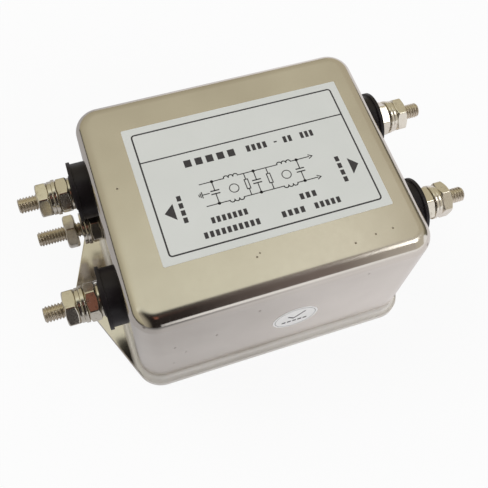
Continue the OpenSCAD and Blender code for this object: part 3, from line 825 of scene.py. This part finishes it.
POWER = [name for name in TERMINALS if name != "earth"]
bush = turned_part("bush_pattern", [
    (BORE_R, -SPIGOT_IN), (SPIGOT_R, -SPIGOT_IN), (SPIGOT_R, 0.0), (BUSH_R, 0.0), (BUSH_R, BUSH_OUT - LIP_T),
    (LIP_R, BUSH_OUT - LIP_T), (LIP_R, BUSH_OUT), (HUB_R, BUSH_OUT), (HUB_R, BUSH_OUT + HUB_T),
    (BORE_R, BUSH_OUT + HUB_T)])
bushes = stand("moulded_bushes", bush, [seat(name, 0.0) for name in POWER], moulding.material)
bpy.data.objects.remove(bush)
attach(bushes, "case")
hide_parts("outer_bushes")
dress(moulding.material, "inner_bushes")

# Studs
# Lengths of threaded steel rod, nickel-plated, with a chamfer at both ends. Four go through the bushes, and
# the earth stud straight through the wall. The thread is right-handed and runs from end to end.
THREAD_RISE = 0.00079375
THREAD_DEPTH = 0.00039
STUD_CHAMFER = 0.0004
STUD_IN = 0.0110
CREST = 0.14
AROUND = 44
ROWS_PER_TURN = 9
STUD_TURN = 40.0
EARTH_STUD_TURN = 75.0
SAME_POINT = 0.0000005


def screw_tree():
    """A node group that rolls a grid into a threaded rod about Z, closed at both ends."""
    tree = bpy.data.node_groups.new("threaded_rod", "GeometryNodeTree")
    for name, size in (("Radius", STUD_R), ("Depth", THREAD_DEPTH), ("Rise", THREAD_RISE), ("Start", 0.0),
                       ("Length", 0.03), ("Chamfer", STUD_CHAMFER)):
        input_socket(tree, name, "NodeSocketFloat", size)
    for name, count in (("Around", AROUND + 1), ("Rows", 100)):
        input_socket(tree, name, "NodeSocketInt", count)
    input_socket(tree, "Finish", "NodeSocketMaterial")
    nodes = Nodes(tree)
    given = nodes.node("NodeGroupInput")
    rows = given.other("Rows")
    grid = nodes.node("GeometryNodeMeshGrid", values={
        "Size X": 1.0, "Size Y": 1.0, "Vertices X": given.other("Around"), "Vertices Y": rows})

    # The grid's X goes round the rod and its rows go along it. The first and the last row close its ends.
    across, ahead = nodes.parts(nodes.node("GeometryNodeInputPosition"))
    turn = across + 0.5
    row = (ahead + 0.5) * (rows - 1.0)
    along = ((row - 1.0) / (rows - 3.0)).clamp() * given.other("Length")
    height = along + given.other("Start")
    phase = turn.math("FRACT", height / given.other("Rise") - turn)
    slope = 1.0 - phase.math("ABSOLUTE", phase * 2.0 - 1.0)
    cut = slope.fade(CREST, 1.0 - CREST) * given.other("Depth")
    radius = given.other("Radius") - cut
    blunt = given.other("Radius") - given.other("Chamfer")
    radius = radius.math("MINIMUM", radius, blunt + along)
    radius = radius.math("MINIMUM", radius, blunt + given.other("Length") - along)
    first = row.math("GREATER_THAN", row, 0.5)
    last = row.math("LESS_THAN", row, rows - 1.5)
    radius = radius * first * last
    angle = turn * (2 * pi)
    place = nodes.node("ShaderNodeCombineXYZ", values={
        "X": radius * angle.math("COSINE", angle), "Y": radius * angle.math("SINE", angle), "Z": height})
    rolled = nodes.node("GeometryNodeSetPosition", values={"Geometry": grid, "Position": place})
    closed = nodes.node("GeometryNodeMergeByDistance", values={"Geometry": rolled, "Distance": SAME_POINT})
    return finished(nodes, given, closed, "Rod")


def nickel_part(name, light, dark, rough):
    """Bright nickel over a turned part, a little clouded, with fine marks all over."""
    finish = Finish(name, Metallic=1.0)
    clouds = finish.noise(420.0, 3.0)
    marks = finish.noise(5200.0, 3.0)
    tarnish = ((finish.noise(950.0, 4.0) - 0.56) * 5.0).clamp()
    colour = finish.mix(clouds, dark, light)
    finish.set("Base Color", finish.mix(tarnish * 0.35, colour, (0.22, 0.17, 0.12)))
    finish.set("Roughness", rough + clouds * 0.08 + (marks - 0.5) * 0.08 + tarnish * 0.12)
    finish.bump(marks, 0.000002, 0.4)
    finish.bump(clouds, 0.00002, 0.25)
    return finish.material


stud_nickel = nickel_part("stud_nickel", (0.82, 0.76, 0.66), (0.68, 0.61, 0.51), 0.26)
SCREW = screw_tree()


def threaded_rod(name, start, stop):
    """A rod from one place to another along a stud, counted out from the wall."""
    holder = bpy.data.objects.new(name, bpy.data.meshes.new(name))
    bpy.context.collection.objects.link(holder)
    modifier = holder.modifiers.new("thread", "NODES")
    modifier.node_group = SCREW
    set_input(modifier, "Start", start)
    set_input(modifier, "Length", stop - start)
    set_input(modifier, "Rows", int((stop - start) / THREAD_RISE * ROWS_PER_TURN) + 3)
    set_input(modifier, "Finish", stud_nickel)
    return made(name, evaluated(holder), stud_nickel, crease=180.0)


rod = threaded_rod("stud_pattern", -STUD_IN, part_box("power_studs")[1].x - CAN_L / 2)
seats = [seat(name, 0.0, STUD_TURN * i) for i, name in enumerate(POWER)]
studs = stand("threaded_studs", rod, seats, stud_nickel, crease=180.0)
bpy.data.objects.remove(rod)
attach(studs, "case")
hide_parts("power_studs")

earth_low, earth_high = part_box("earth_stud")
rod = threaded_rod("earth_pattern", -earth_high.x - CAN_L / 2, -earth_low.x - CAN_L / 2)
earth = stand("threaded_earth_stud", rod, [seat("earth", 0.0, EARTH_STUD_TURN)], stud_nickel, crease=180.0)
bpy.data.objects.remove(rod)
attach(earth, "case")
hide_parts("earth_stud")

# Seat washers, clamping nuts and inside nuts
# A thin washer lies on each bush's hub, and a hexagon nut clamps it, the bush and the stud to the wall. The
# earth stud's clamping nut bears on the wall itself. The nuts are turned steel, bevelled at both faces.
NUT_AF, NUT_H = 0.00873, 0.00318
NUT_FACE_R = NUT_AF / 2 * 0.94
NUT_BLUNT_R = NUT_AF / 2 / cos(pi / 6) * 0.985
NUT_BLUNT = 1.6
NUT_BEVEL = radians(30)
NUT_SINK = 0.00030
NUT_BORDER = 0.00022
NUT_WEAR = 0.00007
SEAT_R, SEAT_T = 0.0043, 0.0006
SEAT_AT = BUSH_OUT + HUB_T
CLAMP_AT = SEAT_AT + SEAT_T
WASHER_BORE_R = STUD_R + 0.0002
CLAMP_TURNS = {"line_back": 25, "line_front": 53, "load_back": 50, "load_front": 20, "earth": 21}

hardware_nickel = nickel_part("hardware_nickel", (0.84, 0.80, 0.72), (0.72, 0.67, 0.58), 0.16)


def hexagon_nut(name):
    """A hexagon nut about Z with a corner on X, bevelled by a cone at each face and countersunk at its bore.
    Its corners are a little blunt, and a ring close to each bevel keeps its flats flat."""
    angles = [radians(corner * 60 + step)
              for corner in range(6) for step in (-NUT_BLUNT, NUT_BLUNT, *range(5, 60, 5))]

    def edge_r(angle):
        off = fmod(angle + 2 * pi, pi / 3) - pi / 6
        return min(NUT_AF / 2 / cos(off), NUT_BLUNT_R)

    def bevel(angle):
        return (edge_r(angle) - NUT_FACE_R) * tan(NUT_BEVEL)

    shell = Shell()
    rings = []
    for radius, z in ((BORE_R, NUT_SINK), (BORE_R + NUT_SINK, 0.0), (NUT_FACE_R, 0.0), (None, 0.0),
                      (None, NUT_BORDER), (None, NUT_H - NUT_BORDER), (None, NUT_H), (NUT_FACE_R, NUT_H),
                      (BORE_R + NUT_SINK, NUT_H), (BORE_R, NUT_H - NUT_SINK)):
        points = []
        for angle in angles:
            r, height = radius, z
            if radius is None:
                r = edge_r(angle)
                height += bevel(angle) if z < NUT_H / 2 else -bevel(angle)
            points.append((r * cos(angle), r * sin(angle), height))
        rings.append(shell.ring(points))
    shell.join(*rings, rings[0])
    nut = shell.object(name, crease=20.0)
    soften = nut.modifiers.new("worn_edges", "BEVEL")
    soften.width = NUT_WEAR
    soften.segments = 2
    soften.limit_method = "ANGLE"
    soften.angle_limit = radians(22.0)
    return made(name, evaluated(nut), crease=50.0)


nut_pattern = hexagon_nut("nut_pattern")
seats = [seat(name, 0.0 if name == "earth" else CLAMP_AT, CLAMP_TURNS[name]) for name in TERMINALS]
clamping = stand("clamping_nut_set", nut_pattern, seats, hardware_nickel, crease=50.0)
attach(clamping, "case")
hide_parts("clamping_nuts")
dress(hardware_nickel, "inside_nuts")


def washer_section(radius, thickness):
    return [(WASHER_BORE_R, 0.0), (radius, 0.0), (radius, thickness), (WASHER_BORE_R, thickness)]


washer = turned_part("washer_pattern", washer_section(SEAT_R, SEAT_T), ease=0.00010)
seat_washers = stand("bush_washers", washer, [seat(name, SEAT_AT) for name in POWER], hardware_nickel)
bpy.data.objects.remove(washer)
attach(seat_washers, "case")
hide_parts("seat_washers")

# Plain washers, spring washers and outer nuts
# Each terminal ends in a stamped plain washer, a split spring washer and a hexagon nut, which clamp a
# cable's ring. The washers lie loose on the stud, and the nut runs on its thread.
PLAIN_R, PLAIN_T = 0.00475, 0.0010
SPRING_R, SPRING_T, SLIT = 0.0045, 0.0011, 0.0006
SLIT_LEAN = radians(30)
NUT_TURNS = {"line_back": 31, "line_front": 23, "load_back": 31, "load_front": 5, "earth": 20}
SLIT_TURNS = {"line_back": 200, "line_front": 140, "load_back": 250, "load_front": 165, "earth": 215}


def spring_washer(name, steps=90):
    """A washer of square wire about Z, cut through at X by a leaning slit."""
    profile = eased(washer_section(SPRING_R, SPRING_T), 0.00018)
    half = SLIT / 2 / cos(SLIT_LEAN)
    start = (half + SPRING_T) / WASHER_BORE_R
    shell = Shell()
    sections = []
    for k in range(steps + 1):
        points = []
        for r, z in profile:
            if k in (0, steps):
                y = (half if k == 0 else -half) - (z - SPRING_T / 2) * tan(SLIT_LEAN)
                points.append((sqrt(r * r - y * y), y, z))
            else:
                angle = start + (2 * pi - 2 * start) * (k - 1) / (steps - 2)
                points.append((r * cos(angle), r * sin(angle), z))
        sections.append(shell.ring(points))
    shell.join(*sections)
    shell.cap(sections[0], sections[-1])
    return shell.object(name, crease=40.0)


plain = turned_part("plain_pattern", washer_section(PLAIN_R, PLAIN_T), ease=0.00020)
spring = spring_washer("spring_pattern")
for name in TERMINALS:
    loose_body = "earth_washers" if name == "earth" else name + "_washers"
    for part, node, turn, body, piece_name in (
            (plain, name + "_plain_washer", 0, loose_body, name + "_stamped_washer"),
            (spring, name + "_spring_washer", SLIT_TURNS[name], loose_body, name + "_split_washer"),
            (nut_pattern, name + "_nut", NUT_TURNS[name], name + "_nut", name + "_terminal_nut")):
        low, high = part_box(node)
        out = min(abs(low[0]), abs(high[0])) - CAN_L / 2
        piece = stand(piece_name, part, [seat(name, out, turn)], hardware_nickel, crease=50.0)
        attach(piece, body)
        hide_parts(node)
for part in (plain, spring, nut_pattern):
    bpy.data.objects.remove(part)

# Rating label
# A pale grey film label, glued to the can's top a little off its middle. Its print is a frame, a rule, rows
# of plain blocks, the filter's circuit and an arrow to each end.
label_low, label_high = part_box("rating_label")
LABEL_AT = middle_of("rating_label")
LABEL_L, LABEL_W = label_high.x - label_low.x, label_high.y - label_low.y
LABEL_CORNER = 0.0004
FILM = 0.000083
FILM_EDGE = 0.00003
INK = 0.000015

film = Finish("label_film", Specular_IOR_Level=0.35)
fog = film.noise(70.0, 3.0)
tooth = film.noise(4200.0, 2.0)
film.set("Base Color", film.mix(fog, (0.69, 0.705, 0.665), (0.76, 0.770, 0.735)))
film.set("Roughness", 0.42 + tooth * 0.12)
film.bump(tooth, 0.000002)
film.bump(film.noise(110.0, 2.0), 0.00003, 0.4)

shell = Shell()
label_rings = []
for inset, height in ((0.0, 0.0), (0.0, FILM - FILM_EDGE), (FILM_EDGE, FILM), (0.00025, FILM)):
    outline = rounded_outline(LABEL_L / 2, LABEL_W / 2, LABEL_CORNER, inset)
    label_rings.append(shell.ring([(LABEL_AT.x + x, LABEL_AT.y + y, CAN_TOP + height) for x, y in outline]))
shell.join(*label_rings)
shell.cap(label_rings[0], label_rings[-1])
label = shell.object("label_film", film.material)
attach(label, "case")
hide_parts("rating_label")

# The print's sizes are in millimetres.
INK_W = 0.26
COIL_R = 0.62
COIL_BUMPS = 3
COIL_L = 2 * COIL_R * COIL_BUMPS


class Print:
    """Ink on a flat film: lines, rings, bars and filled shapes as thin solids, in the film's own plane. The
    place function takes millimetres across and up the film, and a height over it in metres."""

    def __init__(self, place):
        self.shell = Shell()
        self.place = place

    def solid(self, outline):
        low = self.shell.ring([self.place(x, y, 0.0) for x, y in outline])
        high = self.shell.ring([self.place(x, y, INK) for x, y in outline])
        self.shell.join(low, high)
        self.shell.cap(low, high)

    def line(self, *points, width=INK_W):
        for (x0, y0), (x1, y1) in zip(points, points[1:]):
            length = hypot(x1 - x0, y1 - y0)
            ux, uy = (x1 - x0) / length * width / 2, (y1 - y0) / length * width / 2
            self.solid([(x0 - ux - uy, y0 - uy + ux), (x0 - ux + uy, y0 - uy - ux),
                        (x1 + ux + uy, y1 + uy - ux), (x1 + ux - uy, y1 + uy + ux)])

    def loop(self, points, width=INK_W):
        """A closed line of even width, as one ring of four-sided pieces."""
        count = len(points)
        inner, outer = [], []
        for i, (x, y) in enumerate(points):
            px, py = points[i - 1]
            nx, ny = points[(i + 1) % count]
            a = Vector((y - py, px - x)).normalized()
            b = Vector((ny - y, x - nx)).normalized()
            off = (a + b) / (1 + a.dot(b)) * width / 2
            outer.append((x + off.x, y + off.y))
            inner.append((x - off.x, y - off.y))
        rings = [self.shell.ring([self.place(x, y, z) for x, y in line])
                 for line, z in ((outer, 0.0), (outer, INK), (inner, INK), (inner, 0.0))]
        self.shell.join(*rings, rings[0])

    def ring(self, x, y, radius, width=0.24, steps=28):
        self.loop(circle(x, y, radius, steps), width)

    def bar(self, x0, y0, x1, y1):
        self.solid([(x0, y0), (x1, y0), (x1, y1), (x0, y1)])

    def coil(self, x, y, side):
        """Half rings in a row along X, from x."""
        points = [(x, y)]
        for k in range(COIL_BUMPS):
            middle = (x + COIL_R * (2 * k + 1), y)
            points += arc(middle, COIL_R, pi, pi - side * pi, 8)[1:]
        self.line(*points)


ink = Finish("label_ink")
patch = ink.noise(1600.0, 3.0)
ink.set("Base Color", ink.mix(patch, (0.022, 0.020, 0.024), (0.055, 0.050, 0.055)))
ink.set("Roughness", 0.42 + patch * 0.15)


def on_label(x, y, z):
    return (LABEL_AT.x + x * MM, LABEL_AT.y + y * MM, CAN_TOP + FILM + z)


# The frame has round corners, and the rule parts off its back quarter.
FRAME_HALF, FRAME_CORNER = (27.8, 17.95), 0.8
RULE_HALF, RULE_Y = 27.6, 9.25
art = Print(on_label)
art.loop(rounded_outline(*FRAME_HALF, FRAME_CORNER), 0.42)
art.line((-RULE_HALF, RULE_Y), (RULE_HALF, RULE_Y), width=0.36)

# A row of blocks has its two ends, the height of its middle line, the blocks' own height and their count.
BLOCK_ROWS = ((-17.6, -3.0, 5.9, 2.1, 5), (-0.6, 5.4, 5.9, 1.9, 4), (7.0, 8.3, 5.9, 0.4, 1),
              (9.6, 12.4, 5.9, 1.9, 2), (14.4, 18.4, 5.9, 1.9, 3), (-15.6, -5.8, -11.5, 1.7, 7),
              (-18.5, -3.7, -15.0, 1.7, 10), (7.7, 12.6, -11.5, 1.7, 3), (1.6, 8.2, -15.0, 1.7, 4),
              (10.4, 17.8, -15.0, 1.7, 5))
for x0, x1, y, height, count in BLOCK_ROWS:
    pitch = (x1 - x0) / count
    for k in range(count):
        art.bar(x0 + pitch * (k + 0.16), y - height / 2, x0 + pitch * (k + 0.80), y + height / 2)

# A column of blocks and an arrow stand at each end.
BLOCK_COLUMNS = ((-21.3, -10.3), (21.2, -10.7))
ARROWS = (((-25.8, -6.5), (-23.2, -8.9), (-23.2, -4.2)), ((26.1, -6.5), (23.8, -4.2), (23.8, -9.1)))
for x, low in BLOCK_COLUMNS:
    for k in range(4):
        art.bar(x - 0.55, low + 2.1 * k, x + 0.55, low + 2.1 * k + 1.5)
for outline in ARROWS:
    art.solid(outline)

# The circuit: two chokes in line on each of two conductors, each of which ends in an arrowhead.
UPPER, LOWER = -0.9, -7.4
for y, coils, side in ((UPPER, (-8.8, 5.6), 1), (LOWER, (-9.2, 5.2), -1)):
    art.line((-15.2, y), (coils[0], y))
    art.coil(coils[0], y, side)
    art.line((coils[0] + COIL_L, y), (coils[1], y))
    art.coil(coils[1], y, side)
    art.line((coils[1] + COIL_L, y), (14.4, y))
    art.line((14.4, y + 0.55), (15.3, y), (14.4, y - 0.55))

# Between the conductors: three capacitors with a dot at each end, two resistors, and a ring for each core.
for x in (-12.0, -0.9, 10.9):
    for y, plate in ((UPPER, -3.6), (LOWER, -4.5)):
        art.line((x, y), (x, plate))
        art.line((x - 1.0, plate), (x + 1.0, plate), width=0.34)
        art.ring(x, y, 0.28, 0.3, 12)
for x in (-3.5, 2.5):
    art.line((x, UPPER), (x, -2.7))
    art.loop([(x - 0.45, -2.7), (x + 0.45, -2.7), (x + 0.45, -5.5), (x - 0.45, -5.5)])
    art.line((x, -5.5), (x, LOWER))
for x in (-7.1, 7.0):
    art.ring(x, -4.3, 1.2)

# The earth sign stands off the first capacitor.
EARTH_X, EARTH_Y = -15.4, -4.0
art.line((EARTH_X, EARTH_Y), (-13.6, EARTH_Y))
for k in range(3):
    x, half = EARTH_X - 0.4 * k, 0.8 - 0.27 * k
    art.line((x, EARTH_Y - half), (x, EARTH_Y + half))

label_print = art.shell.object("label_print", ink.material)
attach(label_print, "case")

# Inspection sticker
# A round white paper sticker on the front wall, put on after the last test. It bears a plain tick over a
# short row of dashes inside a thin ring.
sticker_low, sticker_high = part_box("inspection_sticker")
STICKER_AT = middle_of("inspection_sticker")
STICKER_R = (sticker_high.x - sticker_low.x) / 2
PAPER = 0.000083
PAPER_EDGE = 0.00003

paper = Finish("sticker_paper", Specular_IOR_Level=0.3)
fluff = paper.noise(2400.0, 4.0)
paper.set("Base Color", paper.mix(fluff, (0.84, 0.83, 0.825), (0.90, 0.89, 0.885)))
paper.set("Roughness", 0.55 + fluff * 0.15)
paper.bump(fluff, 0.000005)

shell = Shell()
disc_rings = [shell.ring([(STICKER_AT.x + x, -CAN_W / 2 - depth, STICKER_AT.z + z)
                          for x, z in circle(0, 0, radius, 72)])
              for radius, depth in ((STICKER_R, 0.0), (STICKER_R, PAPER - PAPER_EDGE),
                                    (STICKER_R - PAPER_EDGE, PAPER), (STICKER_R - 0.0002, PAPER))]
shell.join(*disc_rings)
shell.cap(disc_rings[0], disc_rings[-1])
sticker = shell.object("paper_sticker", paper.material)
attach(sticker, "case")
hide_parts("inspection_sticker")


def on_sticker(x, y, z):
    return (STICKER_AT.x + x * MM, -CAN_W / 2 - PAPER - z, STICKER_AT.z + y * MM)


art = Print(on_sticker)
art.ring(0.0, 0.0, 5.7, 0.12, 64)
art.line((-2.0, 1.4), (-0.5, -0.1), (2.3, 3.0), width=0.55)
for k in range(5):
    art.bar(-3.6 + 1.5 * k, -2.6, -2.5 + 1.5 * k, -1.7)
sticker_print = art.shell.object("sticker_print", ink.material)
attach(sticker_print, "case")
